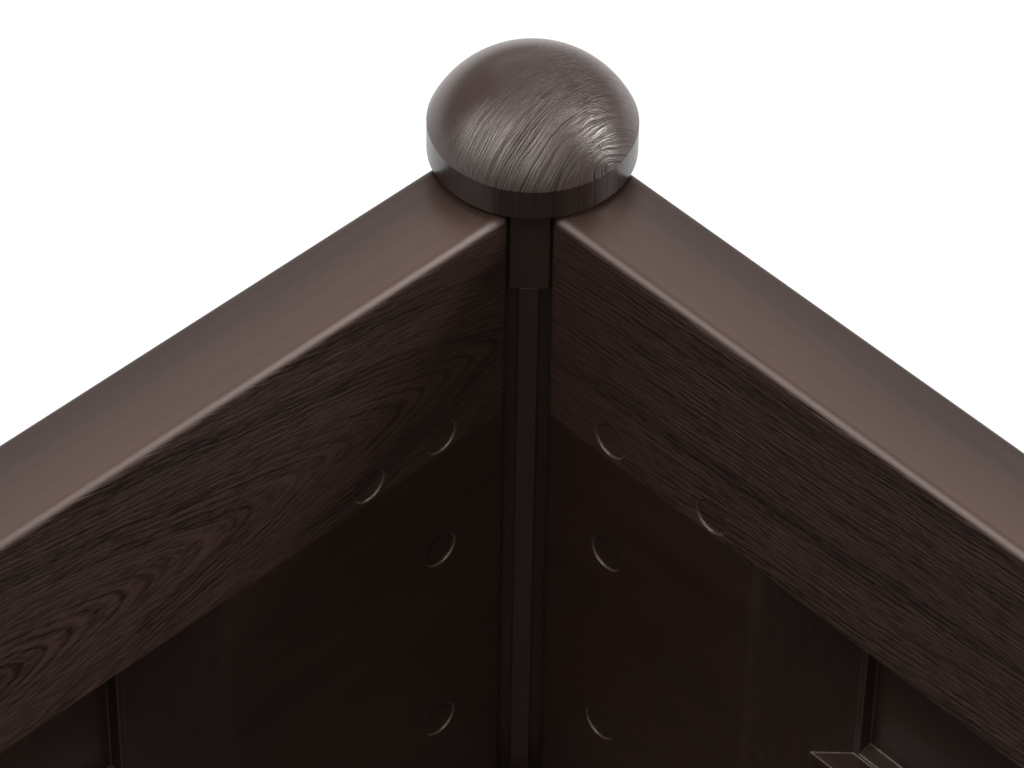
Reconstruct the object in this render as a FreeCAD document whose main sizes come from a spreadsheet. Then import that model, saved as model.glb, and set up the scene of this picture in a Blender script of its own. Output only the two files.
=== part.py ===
"""Raised planter of moulded, wood-grained panels between round corner posts with dome caps.

Frame: +Z up, X along the long side, origin on the ground at the middle of the planter. Millimetres.
"""
import FreeCAD, Part
import math
import os

import Sketcher
from FreeCAD import Placement, Rotation, Vector

# Driving dimensions: alias, value, what it measures
DIMENSIONS = [
    ("post_pitch_x", 924, "post axis to post axis along the long side"),
    ("post_pitch_y", 724, "post axis to post axis along the short side"),
    ("foot_height", 12, "ground to the underside of walls and posts"),
    ("wall_height", 312, "underside of a wall to its rail top"),
    ("wall_thickness", 38, "outer face to inner face of a wall"),
    ("wall_skin", 3.5, "thickness of the moulded skin of a wall"),
    ("wall_corner", 4.5, "radius of the upright edges at a wall end"),
    ("rail_edge", 4, "radius round the rail top"),
    ("rail_skirt", 99, "height of the grained inner skirt of the rail"),
    ("board_height", 110.5, "height of the lowest outer board"),
    ("groove_depth", 6, "depth of the grooves between outer boards"),
    ("groove_mouth", 7, "width of a groove at the outer face"),
    ("groove_floor", 3.5, "width of a groove at its floor"),
    ("groove_slope", 1.7, "fall of the shelf behind a groove"),
    ("stile_short", 137.5, "post axis to the bay edge of an end stile, short wall"),
    ("stile_long", 165, "post axis to the bay edge of an end stile, long wall"),
    ("stile_edge", 7, "radius of the upright bay edge of an end stile"),
    ("bay_shelf", 2.5, "flat strip between the slanted bay side and the bay floor"),
    ("rib_width", 11.5, "reach of the stiffening rib into a bay"),
    ("rib_thick", 3.5, "thickness of the stiffening rib"),
    ("rib_drop", 1.2, "step from the shelf behind a groove down to the rib"),
    ("mark_radius", 7.5, "radius of the round moulding marks on a stile"),
    ("mark_depth", 0.8, "depth of the round moulding marks"),
    ("mark_near", 62.5, "post axis to the near row of marks"),
    ("mark_far_short", 114, "post axis to the far mark, short wall"),
    ("mark_far_long", 98, "post axis to the far mark, long wall"),
    ("mark_upper", 89.5, "rail top to the upper marks"),
    ("mark_middle", 149.5, "rail top to the middle mark"),
    ("mark_lower", 245, "rail top to the lower mark"),
    ("tongue_width", 13, "thickness of the tongue at a wall end"),
    ("tongue_reach", 7, "length of the tongue beyond the wall end"),
    ("bay_bottom", 3.5, "thickness of the bottom skin under a bay"),
    ("post_radius", 35, "outer radius of a post"),
    ("post_wall", 3.5, "wall thickness inside posts and collars"),
    ("flat_depth", 7.4, "depth of the flats on a post that face the wall ends"),
    ("post_gap", 0.4, "gap between a wall end and the flat of its post"),
    ("post_face", 32, "post axis to the face that shows between the wall ends"),
    ("post_rib", 7, "width of the rib on that face"),
    ("post_flute", 4.2, "depth of the flutes beside the rib"),
    ("collar_height", 38, "part of the collar below the rail top"),
    ("collar_rise", 4.5, "part of the collar above the rail top"),
    ("neck_clear", 6, "gap between the neck of a post and the top of its collar"),
    ("socket_depth", 15, "depth of the ring inside a collar that grips the neck"),
    ("cap_clear", 0.5, "gap between a collar and the skirt of its cap"),
    ("cap_skirt", 12.6, "height of the upright skirt of a cap"),
    ("cap_dome", 25, "height of the dome above the skirt"),
    ("cap_wall", 2.5, "thickness of cap, spigot and cap ribs"),
    ("cap_gap", 2.1, "gap between the rail top and the cap's rim"),
    ("cap_web", 10, "height of the ribs inside a cap"),
    ("spigot_radius", 16, "outer radius of the spigots of caps and feet"),
    ("spigot_drop", 30, "reach of the cap spigot below the cap's rim"),
    ("foot_plug", 20, "reach of the foot's spigot into its post"),
    ("foot_chamfer", 1.5, "chamfer at the foot's bottom edge"),
    ("floor_thick", 3.5, "thickness of a floor plate"),
    ("floor_level", 15.5, "ground to the underside of a floor plate"),
    ("floor_gap", 0.5, "gap between the floor and the walls"),
    ("floor_seam", 0.6, "gap between neighbouring floor plates"),
    ("floor_corner_gap", 4, "gap between the cut corner of the floor and a post"),
    ("floor_rib", 8, "depth of the ribs under a floor plate"),
    ("floor_rib_thick", 2.5, "thickness of the ribs and legs under a floor plate"),
    ("floor_rib_inset", 20, "edge of a floor plate to its outer ribs"),
    ("leg_width", 30, "width of the crossed legs under a floor plate"),
    ("drain_radius", 5, "radius of a drain hole"),
    ("fit_gap", 0.3, "running gap between parts that slide into each other"),
]

CAP_RIBS = 6
PLATE_COUNT = 3
DIAGONAL = math.sqrt(0.5)
OVERCUT = 1.0
EMBED = 1.0

doc = FreeCAD.newDocument("raised_planter")
sheet = doc.addObject("Spreadsheet::Sheet", "params")
for row, (alias, value, meaning) in enumerate(DIMENSIONS, start=1):
    sheet.set(f"A{row}", alias)
    sheet.set(f"B{row}", str(value))
    sheet.set(f"C{row}", meaning)
    sheet.setAlias(f"B{row}", alias)
doc.recompute()


class Size:
    """A length that carries its value and the sheet formula behind it."""

    def __init__(self, value, formula):
        self.value = float(value)
        self.formula = formula

    def _with(self, sign, other, value):
        return Size(value, f"({self.formula} {sign} {as_size(other).formula})")

    def __add__(self, other):
        return self._with("+", other, self.value + as_size(other).value)

    def __sub__(self, other):
        return self._with("-", other, self.value - as_size(other).value)

    def __mul__(self, other):
        return self._with("*", other, self.value * as_size(other).value)

    def __truediv__(self, other):
        return self._with("/", other, self.value / as_size(other).value)

    def __radd__(self, other):
        return as_size(other) + self

    def __rsub__(self, other):
        return as_size(other) - self

    def __rmul__(self, other):
        return as_size(other) * self

    def __neg__(self):
        return self * -1

    def root(self):
        return Size(math.sqrt(self.value), f"sqrt({self.formula})")


def as_size(number):
    """Takes a plain number or a Size and gives a Size."""
    if isinstance(number, Size):
        return number
    return Size(number, f"({float(number)!r})")


def dim(alias):
    """The named driving dimension."""
    return Size(sheet.get(alias), f"params.{alias}")


# Sizes that several pieces share
THICK = dim("wall_thickness")
HALF = THICK / 2
SKIN = dim("wall_skin")
HEIGHT = dim("wall_height")
FIT = dim("fit_gap")
POST_FLAT = dim("post_radius") - dim("flat_depth")
WALL_END = POST_FLAT + dim("post_gap")
POST_HEIGHT = HEIGHT - dim("collar_height")
CAP_RADIUS = dim("post_radius") + dim("cap_clear") + dim("cap_wall")
BORE = dim("spigot_radius") + FIT
NECK = BORE + dim("post_wall")
INNER_X = dim("post_pitch_x") / 2 - HALF
INNER_Y = dim("post_pitch_y") / 2 - HALF

# Level of the underside of each piece in its own body
BASE = as_size(0)


# Sketch and feature helpers

def bind(target, path, size):
    """Ties one property of an object to a sheet formula."""
    target.setExpression(path, as_size(size).formula)


def new_body(label):
    body = doc.addObject("PartDesign::Body", label)
    body.Label = label
    return body


def place(body, x=0, y=0, z=0, turn=0):
    """Puts a body at a bound position, turned about the vertical."""
    body.Placement = Placement(Vector(0, 0, 0), Rotation(Vector(0, 0, 1), turn))
    for axis, size in (("x", x), ("y", y), ("z", z)):
        bind(body, f"Placement.Base.{axis}", size)


def origin_part(body, role):
    """One of the body's own base planes or axes."""
    return next(item for item in body.Origin.OriginFeatures if item.Role == role)


def new_sketch(body, plane, level):
    """An empty sketch parallel to a base plane, at a bound level along its normal."""
    sketch = body.newObject("Sketcher::SketchObject", "Sketch")
    sketch.AttachmentSupport = [(origin_part(body, plane), "")]
    sketch.MapMode = "FlatFace"
    bind(sketch, "AttachmentOffset.Base.z", level)
    return sketch


def pin_point(sketch, geometry, end, across, up):
    """Ties a point of a sketch to its two coordinates; the sketch's own axes are -1 and -2."""
    for kind, axis, size in (("DistanceX", -2, across), ("DistanceY", -1, up)):
        if not isinstance(size, Size) and size == 0:
            sketch.addConstraint(Sketcher.Constraint("PointOnObject", geometry, end, axis))
            continue
        size = as_size(size)
        index = sketch.addConstraint(Sketcher.Constraint(kind, -1, 1, geometry, end, size.value))
        bind(sketch, f"Constraints[{index}]", size)


def add_outline(sketch, points, dome=None):
    """A closed outline of straight runs through bound corners.

    The run that starts at corner number dome is an arc round a centre on the upright axis.
    """
    corners = [Vector(as_size(across).value, as_size(up).value, 0) for across, up in points]
    first = sketch.GeometryCount
    count = len(corners)
    for index in range(count):
        start = corners[index]
        end = corners[(index + 1) % count]
        if index == dome:
            rise = (end.y - start.y) / 2 + (end.x ** 2 - start.x ** 2) / (2 * (end.y - start.y))
            centre = Vector(0, start.y + rise, 0)
            angles = [math.atan2(point.y - centre.y, point.x) for point in (start, end)]
            circle = Part.Circle(centre, Vector(0, 0, 1), (start - centre).Length)
            sketch.addGeometry(Part.ArcOfCircle(circle, *angles))
            sketch.addConstraint(Sketcher.Constraint("PointOnObject", first + index, 3, -2))
        else:
            sketch.addGeometry(Part.LineSegment(start, end))
    for index in range(count):
        sketch.addConstraint(
            Sketcher.Constraint("Coincident", first + index, 2, first + (index + 1) % count, 1))
    for index, (across, up) in enumerate(points):
        pin_point(sketch, first + index, 1, across, up)


def add_circle(sketch, radius, across=0, up=0):
    """A circle with bound centre and radius."""
    radius = as_size(radius)
    centre = Vector(as_size(across).value, as_size(up).value, 0)
    circle = sketch.addGeometry(Part.Circle(centre, Vector(0, 0, 1), radius.value))
    pin_point(sketch, circle, 3, across, up)
    index = sketch.addConstraint(Sketcher.Constraint("Radius", circle, radius.value))
    bind(sketch, f"Constraints[{index}]", radius)


def rectangle(across_low, across_high, up_low, up_high):
    return [(across_low, up_low), (across_high, up_low), (across_high, up_high), (across_low, up_high)]


def extrude(body, kind, sketch, length):
    """Pads a sketch along its normal, or pockets it the other way, by a bound length."""
    feature = body.newObject(f"PartDesign::{kind}", kind)
    feature.Profile = sketch
    bind(feature, "Length", length)
    return feature


def pad(body, plane, low, high, outlines=(), circles=()):
    """Adds a prism between two levels along the plane's normal."""
    sketch = new_sketch(body, plane, low)
    for points in outlines:
        add_outline(sketch, points)
    for circle in circles:
        add_circle(sketch, *circle)
    return extrude(body, "Pad", sketch, high - low)


def pocket(body, plane, low, high, outlines=(), circles=()):
    """Cuts a prism between two levels along the plane's normal."""
    sketch = new_sketch(body, plane, high)
    for points in outlines:
        add_outline(sketch, points)
    for circle in circles:
        add_circle(sketch, *circle)
    doc.recompute()
    before = body.Shape.Volume
    feature = extrude(body, "Pocket", sketch, high - low)
    doc.recompute()
    if feature.Shape.Volume >= before:
        raise RuntimeError(f"a pocket in {body.Label} cuts nothing")
    return feature


def fillet(body, radius, choose):
    """Rounds the edges of the newest feature that a test picks."""
    doc.recompute()
    base = body.Tip
    names = [f"Edge{number}" for number, edge in enumerate(base.Shape.Edges, start=1) if choose(edge)]
    if not names:
        raise RuntimeError(f"no edge to round in {body.Label}")
    feature = body.newObject("PartDesign::Fillet", "Fillet")
    feature.Base = (base, names)
    bind(feature, "Radius", radius)
    doc.recompute()
    return feature


def is_upright(edge):
    ends = [vertex.Point for vertex in edge.Vertexes]
    return len(ends) == 2 and (ends[1] - ends[0]).cross(Vector(0, 0, 1)).Length < 1e-6


def is_level_at(edge, height):
    box = edge.BoundBox
    return abs(box.ZMin - height) < 1e-6 and abs(box.ZMax - height) < 1e-6


# Wall panels

class WallPlan:
    """The bound sizes of one wall; x runs along it, y points outwards, z rises from its underside."""

    def __init__(self, pitch, stile, mark_far):
        self.reach = pitch / 2
        self.stile = stile
        self.mark_far = mark_far
        self.slant = THICK - SKIN - dim("groove_depth")
        self.step = stile + self.slant + dim("bay_shelf")
        self.groove = self.step - SKIN - dim("groove_floor") / 2
        self.inner_edge = -HALF
        self.floor_face = HALF - SKIN
        self.shelf_face = HALF - SKIN - dim("groove_depth")
        self.back_half = dim("groove_floor") / 2 + SKIN
        self.bay_top = HEIGHT - dim("rail_skirt")
        self.rail_joint = self.bay_top + self.back_half
        self.board_joint = dim("board_height")
        self.rib_top = self.board_joint + self.back_half - dim("rib_drop")
        self.rib_face = self.shelf_face - dim("rib_width")

    def along(self, side, distance):
        """Position on the wall at a distance from the axis of the post on that side."""
        return side * (self.reach - distance)

    def depth(self, amount):
        """Position at a depth behind the inner face."""
        return self.inner_edge + amount


def make_board(body, plan):
    """The full block of the panel, with rounded ends and rail top and a tongue at each end."""
    end = plan.reach - WALL_END
    pad(body, "XY_Plane", BASE, HEIGHT, [rectangle(-end, end, -HALF, HALF)])
    fillet(body, dim("wall_corner"), is_upright)
    top = HEIGHT.value
    fillet(body, dim("rail_edge"), lambda edge: is_level_at(edge, top))
    half_tongue = dim("tongue_width") / 2
    tips = [rectangle(plan.along(side, WALL_END - dim("tongue_reach")),
                      plan.along(side, WALL_END + EMBED), -half_tongue, half_tongue)
            for side in (-1, 1)]
    pad(body, "XY_Plane", BASE, POST_HEIGHT - FIT, tips)


def bay_section(plan):
    """Upright section of the bay under the rail, stepping round the back of the level groove."""
    mouth = plan.inner_edge - OVERCUT
    low = plan.board_joint - plan.back_half
    high = plan.board_joint + plan.back_half
    return [(mouth, dim("bay_bottom")), (plan.floor_face, dim("bay_bottom")),
            (plan.floor_face, low), (plan.shelf_face, low),
            (plan.shelf_face, high), (plan.floor_face, high + dim("groove_slope")),
            (plan.floor_face, plan.bay_top), (mouth, plan.bay_top)]


def hollow_wall(body, plan):
    """Cuts the open bay with its slanted sides, and hollows the closed end stiles and rail."""
    bay_end = plan.reach - plan.step
    pocket(body, "YZ_Plane", -bay_end, bay_end, [bay_section(plan)])
    slant = plan.slant
    mouth = plan.inner_edge - OVERCUT
    sides = [[(plan.along(side, plan.stile - OVERCUT), mouth),
              (plan.along(side, plan.stile + slant), plan.depth(slant)),
              (plan.along(side, plan.step + OVERCUT), plan.depth(slant)),
              (plan.along(side, plan.step + OVERCUT), mouth)] for side in (-1, 1)]
    pocket(body, "XY_Plane", dim("bay_bottom"), plan.bay_top, sides)
    edge_x = (plan.reach - plan.stile).value
    face_y = plan.inner_edge.value
    fillet(body, dim("stile_edge"),
           lambda edge: is_upright(edge) and abs(abs(edge.CenterOfMass.x) - edge_x) < 1e-4
           and abs(edge.CenterOfMass.y - face_y) < 1e-4)
    near = WALL_END + SKIN
    far = plan.groove - dim("groove_mouth") / 2 - SKIN
    slant_skin = SKIN / DIAGONAL
    stiles = [[(plan.along(side, near), plan.depth(SKIN)),
               (plan.along(side, plan.stile + SKIN - slant_skin), plan.depth(SKIN)),
               (plan.along(side, far), plan.depth(far - plan.stile + slant_skin)),
               (plan.along(side, far), plan.floor_face),
               (plan.along(side, near), plan.floor_face)] for side in (-1, 1)]
    pocket(body, "XY_Plane", dim("bay_bottom"), plan.bay_top, stiles)
    rail_end = plan.reach - near
    pocket(body, "YZ_Plane", -rail_end, rail_end,
           [rectangle(plan.depth(SKIN), plan.floor_face, plan.rail_joint + plan.back_half, HEIGHT - SKIN)])


def stiffen_wall(body, plan):
    """The level rib along the lowest board joint, from stile to stile."""
    shelf_depth = plan.slant - dim("rib_width")
    rib_root = plan.slant + EMBED
    rib = []
    for side in (-1, 1):
        corners = [(plan.along(side, plan.stile + shelf_depth - EMBED), plan.rib_face),
                   (plan.along(side, plan.stile + rib_root - EMBED), plan.depth(rib_root))]
        rib += corners if side < 0 else corners[::-1]
    pad(body, "XY_Plane", plan.rib_top - dim("rib_thick"), plan.rib_top, [rib])


def groove_profile(centre, upright):
    """A tapered groove cut from the outer face; upright grooves have their centre along x."""
    mouth = dim("groove_mouth") / 2
    floor = dim("groove_floor") / 2
    points = [(HALF + OVERCUT, centre - mouth), (HALF, centre - mouth),
              (HALF - dim("groove_depth"), centre - floor), (HALF - dim("groove_depth"), centre + floor),
              (HALF, centre + mouth), (HALF + OVERCUT, centre + mouth)]
    return [(along, out) for out, along in points] if upright else points


def groove_wall(body, plan):
    """Grooves that part the outer face into a top board, end stiles and boards between them."""
    full = plan.reach - WALL_END + OVERCUT
    between = plan.reach - plan.groove
    for joint, end in ((plan.rail_joint, full), (plan.board_joint, between)):
        pocket(body, "YZ_Plane", -end, end, [groove_profile(joint, upright=False)])
    uprights = [groove_profile(plan.along(side, plan.groove), upright=True) for side in (-1, 1)]
    pocket(body, "XY_Plane", as_size(-OVERCUT), plan.rail_joint, uprights)


def mark_wall(body, plan):
    """Shallow round moulding marks on the inner face of both stiles."""
    near = dim("mark_near")
    spots = [(near, "mark_upper"), (near, "mark_middle"), (near, "mark_lower"),
             (plan.mark_far, "mark_upper")]
    circles = [(dim("mark_radius"), plan.along(side, distance), HEIGHT - dim(drop))
               for side in (-1, 1) for distance, drop in spots]
    pocket(body, "XZ_Plane", HALF - dim("mark_depth"), HALF, circles=circles)


def make_wall(label, plan, x, y, turn):
    body = new_body(label)
    make_board(body, plan)
    hollow_wall(body, plan)
    stiffen_wall(body, plan)
    groove_wall(body, plan)
    mark_wall(body, plan)
    place(body, x, y, dim("foot_height"), turn)
    return body


# Corner posts, collars, caps and feet, drawn for walls that leave towards -X and -Y

def ring(outer, inner):
    """Two circles on the axis that bound a ring."""
    return [(outer,), (inner,)]


def diagonal_block(near, far, low, high):
    """A rectangle on the inner diagonal: near and far from the axis, low and high across it."""
    return [(-(out + across) * DIAGONAL, -(out - across) * DIAGONAL)
            for out, across in ((near, low), (far, low), (far, high), (near, high))]


def cut_faces(body, height):
    """Flats that face the two wall ends, and the face that shows between them."""
    beyond = dim("post_radius") + OVERCUT
    flat = rectangle(-beyond, -POST_FLAT, -beyond, beyond)
    face = diagonal_block(dim("post_face"), beyond, -beyond / 2, beyond / 2)
    for outline in (flat, [(up, across) for across, up in flat], face):
        pocket(body, "XY_Plane", BASE, height, [outline])


def make_post(label, x, y, turn):
    """A hollow post: tube and sleeve joined by webs, with slots for the wall tongues and a neck on top."""
    body = new_body(label)
    radius = dim("post_radius")
    wall = dim("post_wall")
    half_slot = dim("tongue_width") / 2 + FIT
    slot_floor = WALL_END - dim("tongue_reach") - FIT
    pad(body, "XY_Plane", BASE, POST_HEIGHT, circles=ring(radius, radius - wall))
    web = rectangle(NECK - EMBED, radius - EMBED, -wall / 2, wall / 2)
    pad(body, "XY_Plane", BASE, POST_HEIGHT, [web, [(across, along) for along, across in web]])
    channel = rectangle(-POST_FLAT, -slot_floor + wall, -half_slot - wall, half_slot + wall)
    for outline in (channel, [(up, across) for across, up in channel]):
        pad(body, "XY_Plane", BASE, POST_HEIGHT, [outline])
    flute_floor = dim("post_face") - dim("post_flute")
    half_backing = dim("post_rib") * 2
    backing = diagonal_block(flute_floor - wall, dim("post_face"), -half_backing, half_backing)
    pad(body, "XY_Plane", BASE, POST_HEIGHT, [backing])
    collar = dim("collar_height") + dim("collar_rise")
    neck_top = POST_HEIGHT + collar - wall - dim("neck_clear")
    pad(body, "XY_Plane", BASE, neck_top, circles=ring(NECK, BORE))
    cut_faces(body, POST_HEIGHT)
    slot = rectangle(-POST_FLAT - OVERCUT, -slot_floor, -half_slot, half_slot)
    for outline in (slot, [(up, across) for across, up in slot]):
        pocket(body, "XY_Plane", BASE, POST_HEIGHT, [outline])
    half_rib = dim("post_rib") / 2
    flutes = [diagonal_block(flute_floor, radius + OVERCUT, side * half_rib, side * radius / 2)
              for side in (-1, 1)]
    pocket(body, "XY_Plane", BASE, POST_HEIGHT, flutes)
    place(body, x, y, dim("foot_height"), turn)
    return body


def make_collar(label, x, y, turn):
    """A cup that closes the post: it grips the neck, covers the tongues and carries the cap."""
    body = new_body(label)
    height = dim("collar_height") + dim("collar_rise")
    wall = dim("post_wall")
    pad(body, "XY_Plane", BASE, height, circles=[(dim("post_radius"),)])
    cut_faces(body, height)
    pocket(body, "XY_Plane", BASE, height - wall, circles=[(POST_FLAT - wall,)])
    grip = NECK + FIT
    under_top = height - wall
    socket = ring(POST_FLAT - wall + EMBED, grip)
    pad(body, "XY_Plane", under_top - dim("socket_depth"), under_top + EMBED, circles=socket)
    pocket(body, "XY_Plane", under_top - OVERCUT, height + OVERCUT, circles=[(BORE,)])
    place(body, x, y, dim("foot_height") + POST_HEIGHT, turn)
    return body


def cap_section():
    """Half section of the cap: skirt, dome and the spigot hanging from it."""
    radius = CAP_RADIUS
    wall = dim("cap_wall")
    skirt = dim("cap_skirt")
    rise = dim("cap_dome")
    spigot = dim("spigot_radius")
    tip = -dim("spigot_drop")
    dome_radius = (radius * radius + rise * rise) / (rise * 2)
    shell_radius = dome_radius - wall

    def under_dome(across):
        """Height of a point one wall below the dome."""
        return skirt + rise - dome_radius + (shell_radius * shell_radius - across * across).root()

    ceiling = under_dome(spigot - wall)
    return [(radius, 0), (radius, skirt), (0, skirt + rise), (0, ceiling), (spigot - wall, ceiling),
            (spigot - wall, tip), (spigot, tip), (spigot, under_dome(spigot)),
            (radius - wall, under_dome(radius - wall)), (radius - wall, 0)]


def make_cap(label, x, y, turn):
    """A domed cap with a spigot and a spider of ribs that rests on the collar."""
    body = new_body(label)
    sketch = new_sketch(body, "XZ_Plane", 0)
    add_outline(sketch, cap_section(), dome=1)
    dome = body.newObject("PartDesign::Revolution", "Revolution")
    dome.Profile = sketch
    dome.ReferenceAxis = (sketch, ["V_Axis"])
    dome.Angle = 360
    doc.recompute()
    wall = dim("cap_wall")
    seat = dim("collar_rise") - dim("cap_gap") + FIT
    web_outline = rectangle(dim("spigot_radius") - EMBED, CAP_RADIUS - wall + EMBED,
                            seat, seat + dim("cap_web"))
    web = pad(body, "XZ_Plane", -wall / 2, wall / 2, [web_outline])
    doc.recompute()
    spider = body.newObject("PartDesign::PolarPattern", "PolarPattern")
    spider.Originals = [web]
    spider.Axis = (origin_part(body, "Z_Axis"), [""])
    spider.Angle = 360
    spider.Occurrences = CAP_RIBS
    body.Tip = spider
    place(body, x, y, dim("foot_height") + HEIGHT + dim("cap_gap"), turn)
    return body


def make_foot(label, x, y, turn):
    """A plug for the hollow post: a rimmed disc to stand on and a spigot in the post's sleeve."""
    body = new_body(label)
    radius = dim("post_radius")
    wall = dim("post_wall")
    height = dim("foot_height")
    plug = dim("spigot_radius")
    chamfer = dim("foot_chamfer")
    section = [(radius - chamfer, 0), (radius, chamfer), (radius, height), (plug, height),
               (plug, height + dim("foot_plug")), (plug - wall, height + dim("foot_plug")),
               (plug - wall, height - wall), (radius - wall, height - wall), (radius - wall, 0)]
    sketch = new_sketch(body, "XZ_Plane", 0)
    add_outline(sketch, section)
    foot = body.newObject("PartDesign::Revolution", "Revolution")
    foot.Profile = sketch
    foot.ReferenceAxis = (sketch, ["V_Axis"])
    foot.Angle = 360
    place(body, x, y, 0, turn)
    return body


# Floor

def make_floor(label, index):
    """A ribbed floor plate on crossed legs, with drain holes; the end plates clear the posts."""
    body = new_body(label)
    seam = dim("floor_seam")
    span = (INNER_X - dim("floor_gap")) * 2
    half_x = (span - seam * (PLATE_COUNT - 1)) / PLATE_COUNT / 2
    half_y = INNER_Y - dim("floor_gap")
    post_clear = dim("post_radius") + dim("floor_corner_gap")
    cut = post_clear / DIAGONAL - (HALF + dim("floor_gap")) * 2
    thick = dim("floor_thick")
    place_in_row = index - (PLATE_COUNT - 1) / 2
    outline = []
    for side_x, side_y in ((-1, -1), (1, -1), (1, 1), (-1, 1)):
        corner = [(side_x * half_x, side_y * half_y)]
        if side_x * place_in_row > 0:
            corner = [(side_x * (half_x - cut), side_y * half_y), (side_x * half_x, side_y * (half_y - cut))]
        outline += corner if side_x * side_y < 0 else corner[::-1]
    pad(body, "XY_Plane", BASE, thick, [outline])
    rib_x = half_x - dim("floor_rib_inset")
    rib_y = half_y - dim("floor_rib_inset")
    half_rib = dim("floor_rib_thick") / 2
    lengthwise = [rectangle(-rib_x, rib_x, rib_y * row - half_rib, rib_y * row + half_rib)
                  for row in (-1, 0, 1)]
    crosswise = [rectangle(rib_x * row - half_rib, rib_x * row + half_rib, -rib_y, rib_y)
                 for row in (-1, 0, 1)]
    for ribs in (lengthwise, crosswise):
        pad(body, "XY_Plane", -dim("floor_rib"), as_size(EMBED), ribs)
    legs = [(rib_x * column / 2, rib_y * row / 2) for column in (-1, 1) for row in (-1, 1)]
    half_leg = dim("leg_width") / 2
    for wide_x, wide_y in ((half_leg, half_rib), (half_rib, half_leg)):
        pad(body, "XY_Plane", -dim("floor_level"), as_size(EMBED),
            [rectangle(x - wide_x, x + wide_x, y - wide_y, y + wide_y) for x, y in legs])
    drains = [(rib_x * column * 3 / 4, rib_y * row / 2) for column in (-1, 1) for row in (-1, 1)]
    pocket(body, "XY_Plane", BASE, thick, circles=[(dim("drain_radius"), x, y) for x, y in drains])
    place(body, (half_x * 2 + seam) * place_in_row, 0, dim("floor_level"))
    return body


# Assembly

def make_walls():
    long_plan = WallPlan(dim("post_pitch_x"), dim("stile_long"), dim("mark_far_long"))
    short_plan = WallPlan(dim("post_pitch_y"), dim("stile_short"), dim("mark_far_short"))
    half_x = dim("post_pitch_x") / 2
    half_y = dim("post_pitch_y") / 2
    return [
        make_wall("wall_back", long_plan, 0, half_y, 0),
        make_wall("wall_front", long_plan, 0, -half_y, 180),
        make_wall("wall_right", short_plan, half_x, 0, -90),
        make_wall("wall_left", short_plan, -half_x, 0, 90),
    ]


def make_corners():
    """Post, collar, cap and foot at each corner; the turn makes the flats face the two walls there."""
    half_x = dim("post_pitch_x") / 2
    half_y = dim("post_pitch_y") / 2
    corners = [("back_right", half_x, half_y, 0), ("back_left", -half_x, half_y, 90),
               ("front_left", -half_x, -half_y, 180), ("front_right", half_x, -half_y, 270)]
    makers = [("post", make_post), ("collar", make_collar), ("cap", make_cap), ("foot", make_foot)]
    return [make(f"{kind}_{corner}", x, y, turn) for corner, x, y, turn in corners for kind, make in makers]


def make_floors():
    names = ("floor_left", "floor_centre", "floor_right")
    return [make_floor(name, index) for index, name in enumerate(names)]


def check(pieces):
    """Stops if any feature failed or a piece is not one valid solid."""
    for item in doc.Objects:
        if "Invalid" in item.State or "Error" in item.State:
            raise RuntimeError(f"{item.Label} ({item.TypeId}) failed: {item.State}")
    for piece in pieces:
        shape = piece.Shape
        if shape.isNull() or not shape.isValid() or len(shape.Solids) != 1:
            raise RuntimeError(f"{piece.Label} is not one valid solid")


pieces = make_walls() + make_corners() + make_floors()
doc.recompute()
check(pieces)
os.makedirs("parts", exist_ok=True)
for piece in pieces:
    piece.Shape.exportStep(f"parts/{piece.Label}.step")
    print(piece.Label, round(piece.Shape.Volume / 1000), "cm3")
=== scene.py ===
"""Looks of the raised planter: dark brown moulded plastic with wood grain, on a white studio floor."""

import math

import bpy
from mathutils import Matrix, Vector


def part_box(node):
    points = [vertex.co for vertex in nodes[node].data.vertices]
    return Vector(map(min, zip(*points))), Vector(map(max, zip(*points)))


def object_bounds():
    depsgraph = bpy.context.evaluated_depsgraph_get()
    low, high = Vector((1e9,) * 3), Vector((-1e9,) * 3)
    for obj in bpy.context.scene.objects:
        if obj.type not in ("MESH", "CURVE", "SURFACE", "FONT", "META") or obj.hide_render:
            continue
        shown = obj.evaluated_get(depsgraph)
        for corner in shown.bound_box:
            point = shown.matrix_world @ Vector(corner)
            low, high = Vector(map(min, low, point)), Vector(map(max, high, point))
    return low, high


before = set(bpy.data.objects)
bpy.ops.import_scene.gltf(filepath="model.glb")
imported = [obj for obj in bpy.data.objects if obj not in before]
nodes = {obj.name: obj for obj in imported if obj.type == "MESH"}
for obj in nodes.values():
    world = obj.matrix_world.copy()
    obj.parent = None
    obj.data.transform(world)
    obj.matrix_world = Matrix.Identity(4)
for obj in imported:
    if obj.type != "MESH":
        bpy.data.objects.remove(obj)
cad_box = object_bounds()

CORNERS = ("back_right", "back_left", "front_left", "front_right")
FLOOR_PLATES = ("floor_left", "floor_centre", "floor_right")

# Photograph: frame size, focal length in pixels, and where the corner post meets the rail top
FRAME_WIDTH, FRAME_HEIGHT = 1024, 768
FOCAL_PIXELS = 5200
POST_PIXEL = (532.2, 150.2)
METRES_PER_PIXEL = 0.0003584
AZIMUTH = math.radians(-44.55)
ELEVATION = math.radians(45.33)
ROLL = math.radians(1.03)
SENSOR = 36.0

# Levels and widths of the moulded features, and where the end stiles begin, in metres
RAIL_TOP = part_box("wall_back")[1].z
WALL_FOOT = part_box("wall_back")[0].z
SKIRT_BOTTOM = RAIL_TOP - 0.099
RAIL_JOINT = SKIRT_BOTTOM + 0.005
BOARD_JOINT = WALL_FOOT + 0.1105
BOARD_PITCH = 0.105
WALL_HALF = 0.019
STILE_WIDTH = 0.16
LONG_STILE_START = 0.271
SHORT_STILE_START = 0.199

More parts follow.
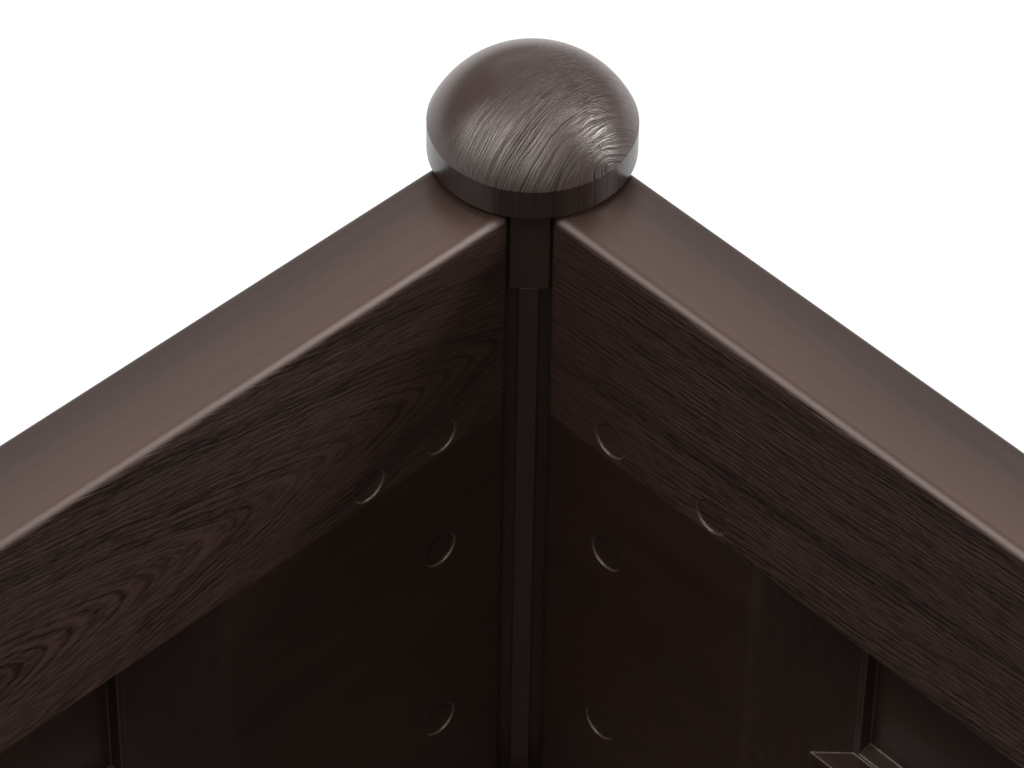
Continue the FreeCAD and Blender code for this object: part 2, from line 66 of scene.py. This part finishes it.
# Lighter and darker brown of each plastic, and the pale brown of the painted highlight on edges
WALL_BROWNS = (0.190, 0.108, 0.084), (0.030, 0.016, 0.012)
CAP_BROWNS = (0.105, 0.061, 0.048), (0.028, 0.016, 0.012)
POST_BROWNS = (0.075, 0.044, 0.034), (0.050, 0.029, 0.022)
FOOT_BROWNS = (0.020, 0.016, 0.014), (0.012, 0.010, 0.009)
FLOOR_BROWNS = (0.060, 0.037, 0.029), (0.036, 0.021, 0.017)
EDGE_HIGHLIGHT_BROWN = (0.42, 0.32, 0.27)

# Depth of fine relief and radius of softened edges, in metres
WALL_RELIEF = 0.00025
CAP_RELIEF = 0.00012
DRAWN_RELIEF = 0.00015
PEBBLE_RELIEF = 0.00025
SOFT_EDGE = 0.0005
WALL_SOFT_EDGE = 0.0012

# Depths behind the walls' faces over which the grain of skirt and boards ends, and soft borders, in metres
SKIRT_GRAIN_END = 0.0002, 0.0024
BOARD_GRAIN_END = 0.0012, 0.0028
SKIRT_BORDER = 0.001
MIDDLE_BORDER = 0.002

# Grain of the outer boards: how it changes from one to the next, and the slope of its arches
BOARD_TURN = 2.7
SHIFT_ACROSS, SHIFT_ALONG = 0.02, 0.3
BOARD_SLOPE = 0.05

# How far past the start of the stiles the grain fades, by what share, and how dark it turns: a painted
# shade towards the corner posts
FADE_START, FADE_END = 0.05, 0.14
FADE_SHARE = 0.55
CORNER_PAINTED_SHADE = 0.68

# Painted shade: how dark the rail top gets towards its outer edge, and how dark the smooth upright faces
# are against the level ones
OUTER_PAINTED_SHADE = 0.45
UPRIGHT_PAINTED_SHADE = 0.34

# Roughness, from the least to the most where it varies, and gloss
SATIN_ROUGHNESS = 0.27, 0.36
GRAIN_ROUGHNESS = 0.40, 0.52
ROUNDED_ROUGHNESS = 0.46
CAP_ROUGHNESS = 0.24, 0.30
CUT_ROUGHNESS = 0.42
POST_ROUGHNESS = 0.36, 0.48
FOOT_ROUGHNESS = 0.45, 0.57
FLOOR_ROUGHNESS = 0.50, 0.62
PLAIN_GLOSS = 0.5
UPRIGHT_GLOSS = 0.22
DOME_GLOSS, CUT_GLOSS = 0.68, 0.15
POST_GLOSS = 0.32

# Studio: white to look at, with a pale grey floor under its glow, and warm lamps
WHITE = (1.0, 1.0, 1.0, 1.0)
FLOOR_GREY = (0.80, 0.80, 0.80, 1.0)
LAMP_COLOUR = (1.0, 0.955, 0.925)


def box_centre(node):
    low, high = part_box(node)
    return (low + high) / 2


class Graph:
    """Shader nodes of a material or world; most calls add nodes and give the last one's output socket."""

    def __init__(self, owner):
        self.owner = owner
        self.owner.use_nodes = True
        self.tree = self.owner.node_tree
        self.tree.nodes.clear()

    def feed(self, socket, value):
        if isinstance(value, bpy.types.NodeSocket):
            self.tree.links.new(value, socket)
        else:
            socket.default_value = value

    def new(self, kind, inputs=None, output=0, **settings):
        node = self.tree.nodes.new(kind)
        for attribute, value in settings.items():
            setattr(node, attribute, value)
        for key, value in (inputs or {}).items():
            self.feed(node.inputs[key], value)
        return node.outputs[output]

    def close(self, shader, output="ShaderNodeOutputMaterial"):
        """Sends the finished shader to the surface, and gives the material or world."""
        self.tree.links.new(shader, self.tree.nodes.new(output).inputs["Surface"])
        return self.owner

    def math(self, operation, *values):
        return self.new("ShaderNodeMath", dict(enumerate(values)), operation=operation)

    def plus(self, a, b):
        return self.math("ADD", a, b)

    def minus(self, a, b):
        return self.math("SUBTRACT", a, b)

    def times(self, a, b):
        return self.math("MULTIPLY", a, b)

    def absolute(self, value):
        return self.math("ABSOLUTE", value)

    def above(self, value, limit):
        """1 above the limit, 0 below it."""
        return self.math("GREATER_THAN", value, limit)

    def mixture(self, a, a_share, b, b_share):
        return self.plus(self.times(a, a_share), self.times(b, b_share))

    def blend(self, amount, a, b):
        """A number that goes from a to b as amount goes from 0 to 1."""
        return self.new("ShaderNodeMix", {"Factor": amount, 2: a, 3: b}, data_type="FLOAT")

    def hypot(self, a, b):
        return self.math("SQRT", self.plus(self.times(a, a), self.times(b, b)))

    def smooth(self, value, low, high):
        """Rises softly from 0 at low to 1 at high."""
        inputs = {"Value": value, "From Min": low, "From Max": high}
        return self.new("ShaderNodeMapRange", inputs, interpolation_type="SMOOTHSTEP")

    def below(self, value, low, high):
        """Falls softly from 1 at low to 0 at high."""
        return self.minus(1.0, self.smooth(value, low, high))

    def vector(self, x, y, z):
        return self.new("ShaderNodeCombineXYZ", {"X": x, "Y": y, "Z": z})

    def split(self, vector):
        """The x, y and z sockets of a vector."""
        node = self.tree.nodes.new("ShaderNodeSeparateXYZ")
        self.feed(node.inputs[0], vector)
        return node.outputs

    def noise(self, coordinates, scales, seed=0.0, detail=2.0):
        """Noise of 0 to 1 with one scale, in cells per metre, for each coordinate."""
        scaled = [self.times(value, scale) for value, scale in zip(coordinates, scales)]
        scaled += [seed] * (3 - len(scaled))
        inputs = {"Vector": self.vector(*scaled), "Scale": 1.0, "Detail": detail, "Roughness": 0.5}
        return self.new("ShaderNodeTexNoise", inputs)

    def swing(self, noise, reach):
        """Turns noise of 0 to 1 into a shift to either side that spans this reach."""
        return self.times(self.minus(noise, 0.5), reach)

    def mix_colour(self, amount, a, b):
        node = self.tree.nodes.new("ShaderNodeMix")
        node.data_type = "RGBA"
        self.feed(node.inputs["Factor"], amount)
        for index, colour in ((6, a), (7, b)):
            self.feed(node.inputs[index], (*colour, 1.0) if isinstance(colour, tuple) else colour)
        return node.outputs[2]

    def place(self):
        """Position on the piece in the planter's own frame."""
        return self.split(self.new("ShaderNodeTexCoord", output="Object"))

    def facing(self):
        """Direction of the surface."""
        return self.split(self.new("ShaderNodeNewGeometry", output="Normal"))

    def ray(self, kind):
        """1 for rays of this kind, 0 for others."""
        return self.new("ShaderNodeLightPath", output=kind)

    def turned(self, soft):
        """1 where the softened direction of the surface leaves the true one, 0 on flat faces."""
        flat = self.new("ShaderNodeNewGeometry", output="True Normal")
        inputs = {0: soft, 1: flat}
        agree = self.new("ShaderNodeVectorMath", inputs, output="Value", operation="DOT_PRODUCT")
        return self.below(agree, 0.75, 0.98)

    def plastic(self, browns, shade, roughness, height, relief,
                gloss=PLAIN_GLOSS, edge_highlight=0.0, edge=SOFT_EDGE):
        """Closes a plastic: a shade between two browns, fine relief, and soft edges that can carry a
        painted highlight in a paler brown.
        """
        soft = self.new("ShaderNodeBevel", {"Radius": edge}, samples=6)
        inputs = {"Height": height, "Distance": relief, "Strength": 1.0, "Normal": soft}
        normal = self.new("ShaderNodeBump", inputs, output="Normal")
        base = self.mix_colour(shade, *browns)
        # Painted highlight: the softened edges, convex and hollow alike, turn a paler brown
        if edge_highlight:
            base = self.mix_colour(self.times(self.turned(soft), edge_highlight), base, EDGE_HIGHLIGHT_BROWN)
        inputs = {"Base Color": base, "Roughness": roughness,
                  "Normal": normal, "Specular IOR Level": gloss}
        return self.close(self.new("ShaderNodeBsdfPrincipled", inputs))


def new_graph(name):
    """Shader nodes of a new material."""
    return Graph(bpy.data.materials.new(name))


def wood(graph, along, across, lean, seed):
    """Moulded grain of a board, measured from its heart line: how dark and deep it is."""
    line_pitch = 0.0026
    heart_width = 0.011
    wander_reach, ripple_reach = 0.012, 0.007
    least_dark, band_dark, line_dark, flake_dark = 0.05, 0.36, 0.42, 0.52
    wander = graph.swing(graph.noise((along,), (4.0,), seed), wander_reach)
    ripple = graph.swing(graph.noise((along, across), (16.0, 45.0), seed), ripple_reach)
    side = graph.plus(across, graph.plus(wander, ripple))
    radius = graph.plus(graph.hypot(side, heart_width), lean)
    rings = (along, radius)

    # Fine fibres, short flakes and broad bands
    fibre = graph.noise(rings, (30.0, 1100.0), seed, 3.0)
    mottle = graph.noise((along, side), (110.0, 600.0), graph.plus(seed, 5.0))
    flake = graph.smooth(graph.mixture(fibre, 0.5, mottle, 0.5), 0.44, 0.56)
    bands = graph.smooth(graph.noise(rings, (3.0, 90.0), graph.plus(seed, 9.0), 3.0), 0.42, 0.66)

    # Dark lines at an even pitch, broken here and there
    turns = graph.math("DIVIDE", radius, line_pitch)
    phase = graph.math("FRACT", graph.plus(turns, graph.times(fibre, 0.5)))
    line = graph.minus(graph.smooth(phase, 0.0, 0.10), graph.smooth(phase, 0.20, 0.42))
    lines = graph.times(line, graph.smooth(graph.noise(rings, (8.0, 60.0), seed), 0.30, 0.52))

    dark = graph.plus(graph.mixture(bands, band_dark, lines, line_dark), least_dark)
    return graph.plus(dark, graph.times(graph.minus(1.0, flake), flake_dark))


def wall_plastic(name, axis, middle, stile_start, heart, tip, slope, seed):
    """Moulded wall: grained rail skirt inside, boards outside, satin rail top, smooth stiles and bays."""
    graph = new_graph(name)
    position = graph.place()
    along = position[axis]
    up = position[2]
    out = graph.minus(graph.absolute(position[1 - axis]), middle)
    inside = graph.below(out, -MIDDLE_BORDER, MIDDLE_BORDER)

    # Where the grain lies: upright faces of the inner skirt and of the outer boards
    lying = graph.absolute(graph.facing()[2])
    upright = graph.below(lying, 0.2, 0.6)
    near, deep = SKIRT_GRAIN_END
    skirt = graph.times(graph.below(out, near - WALL_HALF, deep - WALL_HALF),
                        graph.smooth(up, SKIRT_BOTTOM - SKIRT_BORDER, SKIRT_BOTTOM + SKIRT_BORDER))
    near, deep = BOARD_GRAIN_END
    outer = graph.smooth(out, WALL_HALF - deep, WALL_HALF - near)
    grained = graph.times(upright, graph.plus(skirt, outer))

    # Outside: which board or stile a point is on, and where it lies on it
    board = graph.plus(graph.above(up, BOARD_JOINT), graph.above(up, RAIL_JOINT))
    beyond = graph.minus(graph.absolute(along), stile_start)
    below_rail = graph.math("LESS_THAN", board, 1.5)
    stile = graph.times(graph.above(beyond, 0.0), below_rail)
    turn = graph.math("SINE", graph.plus(graph.times(board, BOARD_TURN), seed))
    board_middle = graph.plus(graph.times(board, BOARD_PITCH), BOARD_JOINT - BOARD_PITCH / 2)
    board_across = graph.plus(graph.minus(up, board_middle), graph.times(turn, SHIFT_ACROSS))
    outer_across = graph.blend(stile, board_across, graph.minus(beyond, STILE_WIDTH / 2))
    outer_run = graph.blend(stile, graph.plus(along, graph.times(turn, SHIFT_ALONG)), up)
    outer_lean = graph.times(outer_run, BOARD_SLOPE)

    # Grain of the skirt inside or of the board outside, fading towards the ends of the wall into a painted
    # shade by the corner posts
    across = graph.blend(inside, outer_across, graph.minus(up, RAIL_TOP - heart))
    lean = graph.blend(inside, outer_lean, graph.times(graph.minus(along, tip), slope))
    run = graph.blend(graph.times(stile, graph.minus(1.0, inside)), along, up)
    grain = wood(graph, run, across, lean, graph.plus(board, seed))
    # Painted shade: the grain fades and darkens towards the corner posts
    corner_fade = graph.times(graph.smooth(beyond, FADE_START, FADE_END), FADE_SHARE)
    dark = graph.blend(corner_fade, grain, CORNER_PAINTED_SHADE)

    # Satin surface of rail, stiles and bays, rougher where an edge rounds over, with painted shade on the
    # rail top's outer side and on the upright faces
    here = (along, out, up)
    drawn = graph.noise(here, (5.0, 420.0, 60.0), detail=3.0)
    speck = graph.noise(here, (650.0, 650.0, 650.0))
    patch = graph.noise(here, (7.0, 22.0, 14.0), detail=3.0)
    satin = graph.mixture(drawn, 0.10, speck, 0.05)
    outwards = graph.smooth(out, -WALL_HALF, WALL_HALF)
    cloud = graph.mixture(patch, 0.40, drawn, 0.30)
    # Painted shade: the rail top darker towards its outer edge, and the smooth upright faces darker than
    # the level ones
    painted_shade = graph.blend(upright, graph.times(outwards, OUTER_PAINTED_SHADE), UPRIGHT_PAINTED_SHADE)
    rounded = graph.times(graph.smooth(lying, 0.05, 0.30), graph.below(lying, 0.85, 0.985))
    sheen = graph.blend(rounded, graph.blend(patch, *SATIN_ROUGHNESS), ROUNDED_ROUGHNESS)

    height = graph.blend(grained, satin, graph.minus(1.0, dark))
    shade = graph.blend(grained, graph.plus(cloud, painted_shade), dark)
    roughness = graph.blend(grained, sheen, graph.blend(dark, *GRAIN_ROUGHNESS))
    gloss = graph.blend(upright, PLAIN_GLOSS, UPRIGHT_GLOSS)
    # Half-strength painted highlight on the softened edges
    return graph.plastic(WALL_BROWNS, shade, roughness, height, WALL_RELIEF, gloss,
                         edge_highlight=0.5, edge=WALL_SOFT_EDGE)


def cap_plastic(name, centre, turn):
    """Dome cap: fine grain that flows round a knot in plan, and so runs upright down the skirt."""
    knot_along, knot_back = 0.004, -0.0375
    knot_stretch = 0.20
    back_depth, side_depth, skirt_depth = 0.06, 0.45, 0.30
    graph = new_graph(name)
    position = graph.place()
    x = graph.minus(position[0], centre.x)
    y = graph.minus(position[1], centre.y)
    cosine, sine = math.cos(turn), math.sin(turn)
    along = graph.plus(graph.times(x, cosine), graph.times(y, sine))
    back = graph.minus(graph.times(y, cosine), graph.times(x, sine))

    # Lines and finer hairs that bend round the knot
    from_knot = graph.minus(back, knot_back)
    past_knot = graph.times(graph.minus(along, knot_along), knot_stretch)
    ripple = graph.swing(graph.noise((along, back), (60.0, 110.0)), 0.003)
    flow = graph.plus(graph.hypot(from_knot, past_knot), ripple)
    lines = graph.smooth(graph.noise((along, flow), (22.0, 2600.0), 3.0, 3.0), 0.35, 0.53)
    hairs = graph.smooth(graph.noise((along, flow), (80.0, 4200.0), 7.0), 0.34, 0.56)
    grain = graph.mixture(lines, 0.65, hairs, 0.35)

    # How deep they are cut: most on the front of the dome, least on its back, and little on the skirt
    patch = graph.noise((along, back), (35.0, 60.0), 5.0)
    front = graph.below(graph.plus(back, graph.swing(patch, 0.03)), -0.006, 0.012)
    dome = graph.smooth(graph.facing()[2], 0.05, 0.30)
    sheltered = graph.blend(graph.below(along, 0.002, 0.030), side_depth, 1.0)
    depth = graph.blend(front, back_depth, sheltered)
    amount = graph.times(depth, graph.blend(dome, skirt_depth, 1.0))
    cut = graph.times(graph.minus(1.0, grain), amount)

    speck = graph.noise(position, (700.0, 700.0, 700.0))
    height = graph.minus(graph.times(speck, 0.05), cut)
    # Darker in the grain's cuts, and a painted shade that darkens the upright skirt against the dome
    shade = graph.mixture(cut, 1.1, graph.minus(1.0, dome), 0.6)
    roughness = graph.blend(cut, graph.blend(patch, *CAP_ROUGHNESS), CUT_ROUGHNESS)
    gloss = graph.blend(dome, PLAIN_GLOSS, graph.blend(cut, DOME_GLOSS, CUT_GLOSS))
    return graph.plastic(CAP_BROWNS, shade, roughness, height, CAP_RELIEF, gloss)


def drawn_plastic(name, browns, roughnesses, gloss):
    """Posts, collars and feet: smooth plastic with faint upright draw lines."""
    graph = new_graph(name)
    position = graph.place()
    lines = graph.noise(position, (320.0, 320.0, 4.0), detail=3.0)
    speck = graph.noise(position, (800.0, 800.0, 800.0))
    patch = graph.noise(position, (18.0, 18.0, 9.0), detail=3.0)
    height = graph.mixture(lines, 0.5, speck, 0.2)
    roughness = graph.blend(patch, *roughnesses)
    return graph.plastic(browns, patch, roughness, height, DRAWN_RELIEF, gloss)


def floor_plastic(name):
    """Floor plates: matt, finely pebbled plastic."""
    graph = new_graph(name)
    position = graph.place()
    pebbles = graph.noise(position, (520.0, 520.0, 520.0))
    patch = graph.noise(position, (9.0, 9.0, 9.0), detail=4.0)
    roughness = graph.blend(patch, *FLOOR_ROUGHNESS)
    return graph.plastic(FLOOR_BROWNS, patch, roughness, pebbles, PEBBLE_RELIEF)


def paint(node, material):
    """Gives a CAD node its finished material."""
    mesh = nodes[node].data
    mesh.materials.clear()
    mesh.materials.append(material)


def dress_planter():
    post_axis = box_centre("foot_back_right")
    long_wall = {"axis": 0, "middle": post_axis.y, "stile_start": LONG_STILE_START}
    short_wall = {"axis": 1, "middle": post_axis.x, "stile_start": SHORT_STILE_START}

    # Grain of each skirt: heart line's depth below the rail, where its arches close, their slope, a seed
    walls = {
        "wall_back": dict(long_wall, heart=0.062, tip=0.217, slope=0.22, seed=0.0),
        "wall_front": dict(long_wall, heart=0.040, tip=-0.12, slope=0.15, seed=11.0),
        "wall_right": dict(short_wall, heart=0.110, tip=0.10, slope=0.08, seed=23.0),
        "wall_left": dict(short_wall, heart=0.085, tip=0.02, slope=0.15, seed=37.0),
    }
    for node, wall in walls.items():
        paint(node, wall_plastic(node + "_plastic", **wall))

    post = drawn_plastic("post_plastic", POST_BROWNS, POST_ROUGHNESS, POST_GLOSS)
    foot = drawn_plastic("foot_plastic", FOOT_BROWNS, FOOT_ROUGHNESS, PLAIN_GLOSS)
    floor = floor_plastic("floor_plastic")
    for index, corner in enumerate(CORNERS):
        paint("post_" + corner, post)
        paint("collar_" + corner, post)
        paint("foot_" + corner, foot)
        cap = "cap_" + corner
        paint(cap, cap_plastic(cap + "_plastic", box_centre(cap), math.radians(90 * index)))
    for plate in FLOOR_PLATES:
        paint(plate, floor)


# Direction of the camera, and the point on the post's axis that it and the lamps are set by
TOWARDS_CAMERA = Vector((math.sin(AZIMUTH) * math.cos(ELEVATION),
                         -math.cos(AZIMUTH) * math.cos(ELEVATION), math.sin(ELEVATION)))
CORNER_POINT = Vector((*box_centre("foot_back_right").xy, RAIL_TOP))


def make_camera():
    """A long lens that puts the corner post where the photograph has it."""
    data = bpy.data.cameras.new("camera")
    data.sensor_fit = "HORIZONTAL"
    data.sensor_width = SENSOR
    data.lens = FOCAL_PIXELS * SENSOR / FRAME_WIDTH
    data.clip_start, data.clip_end = 0.05, 100.0
    camera = bpy.data.objects.new("camera", data)
    bpy.context.scene.collection.objects.link(camera)
    turn = (-TOWARDS_CAMERA).to_track_quat("-Z", "Y").to_matrix() @ Matrix.Rotation(ROLL, 3, "Z")
    right, up = turn.col[0], turn.col[1]
    shift_x = (POST_PIXEL[0] - FRAME_WIDTH / 2) * METRES_PER_PIXEL
    shift_y = (FRAME_HEIGHT / 2 - POST_PIXEL[1]) * METRES_PER_PIXEL
    distance = FOCAL_PIXELS * METRES_PER_PIXEL
    place = CORNER_POINT + TOWARDS_CAMERA * distance - right * shift_x - up * shift_y
    camera.matrix_world = Matrix.Translation(place) @ turn.to_4x4()
    bpy.context.scene.camera = camera


def seen_directly(graph):
    """1 for rays from the camera, off mirrors and through glass, 0 for the light that falls on things."""
    either = graph.math("MAXIMUM", graph.ray("Is Camera Ray"), graph.ray("Is Glossy Ray"))
    return graph.math("MAXIMUM", either, graph.ray("Is Transmission Ray"))


def make_floor():
    """A wide white floor that glows to the eye outside the planter and keeps a faint shadow."""
    half = 40.0
    inset = 0.02
    glow_strength = 1.2
    glow_share = 0.88
    corners = [(-half, -half, 0), (half, -half, 0), (half, half, 0), (-half, half, 0)]
    mesh = bpy.data.meshes.new("studio_floor")
    mesh.from_pydata(corners, [], [(0, 1, 2, 3)])
    floor = bpy.data.objects.new("studio_floor", mesh)
    bpy.context.scene.collection.objects.link(floor)
    graph = new_graph("studio_white")
    position = graph.place()
    edge = cad_box[1]
    beyond = [graph.above(graph.absolute(position[axis]), edge[axis] - inset) for axis in (0, 1)]
    outside = graph.math("MAXIMUM", *beyond)
    matt = graph.new("ShaderNodeBsdfDiffuse", {"Color": FLOOR_GREY})
    glow = graph.new("ShaderNodeEmission", {"Color": WHITE, "Strength": glow_strength})
    share = graph.times(graph.times(seen_directly(graph), outside), glow_share)
    mesh.materials.append(graph.close(graph.new("ShaderNodeMixShader", {0: share, 1: matt, 2: glow})))


def make_world(seen, mirrored, falling):
    """White to look at, with its own levels for mirror rays and for the light that falls on things."""
    graph = Graph(bpy.data.worlds.new("studio"))
    unseen = graph.blend(graph.ray("Is Glossy Ray"), falling, mirrored)
    level = graph.blend(graph.ray("Is Camera Ray"), unseen, seen)
    background = graph.new("ShaderNodeBackground", {"Color": WHITE, "Strength": level})
    bpy.context.scene.world = graph.close(background, "ShaderNodeOutputWorld")


def make_lamp(name, azimuth, elevation, distance, size, radiance, falls=True, mirrors=True):
    """A soft box that faces the corner; azimuth turns from +Y to +X, and radiance 1 looks white."""
    width, height = size
    data = bpy.data.lights.new(name, "AREA")
    data.shape = "RECTANGLE"
    data.size, data.size_y = width, height
    data.energy = radiance * math.pi * width * height
    data.color = LAMP_COLOUR
    lamp = bpy.data.objects.new(name, data)
    bpy.context.scene.collection.objects.link(lamp)
    turn, rise = math.radians(azimuth), math.radians(elevation)
    towards = Vector((math.sin(turn) * math.cos(rise), math.cos(turn) * math.cos(rise), math.sin(rise)))
    lamp.location = CORNER_POINT + towards * distance
    lamp.rotation_mode = "QUATERNION"
    lamp.rotation_quaternion = towards.to_track_quat("Z", "Y")
    lamp.visible_camera = False
    lamp.visible_diffuse = falls
    lamp.visible_glossy = mirrors


def make_lights():
    make_world(seen=1.0, mirrored=0.28, falling=0.10)

    # Azimuth, elevation, distance, size and radiance of the soft boxes that light the planter
    make_lamp("overhead", 45, 58, 2.6, (1.8, 1.8), 2.7, mirrors=False)
    make_lamp("front", 217, 60, 2.4, (1.6, 1.6), 0.8)
    make_lamp("behind", 43, 42, 3.0, (2.6, 2.6), 0.6)
    make_lamp("right", 138, 26, 1.8, (0.45, 0.45), 8.0)
    make_lamp("left", 279, 54, 1.8, (0.45, 0.45), 5.0)

    # The same for those that only show as reflections
    make_lamp("left_sheen", 255, 48, 2.4, (3.6, 2.0), 3.0, falls=False)
    make_lamp("right_sheen", 135, 30, 1.8, (0.5, 1.6), 13.0, falls=False)
    make_lamp("top_sheen", 190, 72, 2.4, (2.0, 1.4), 2.2, falls=False)
    make_lamp("edge_sheen", 298, 36, 2.4, (1.6, 1.4), 3.8, falls=False)


dress_planter()
make_camera()
make_floor()
make_lights()
bpy.context.scene.view_settings.view_transform = "Standard"
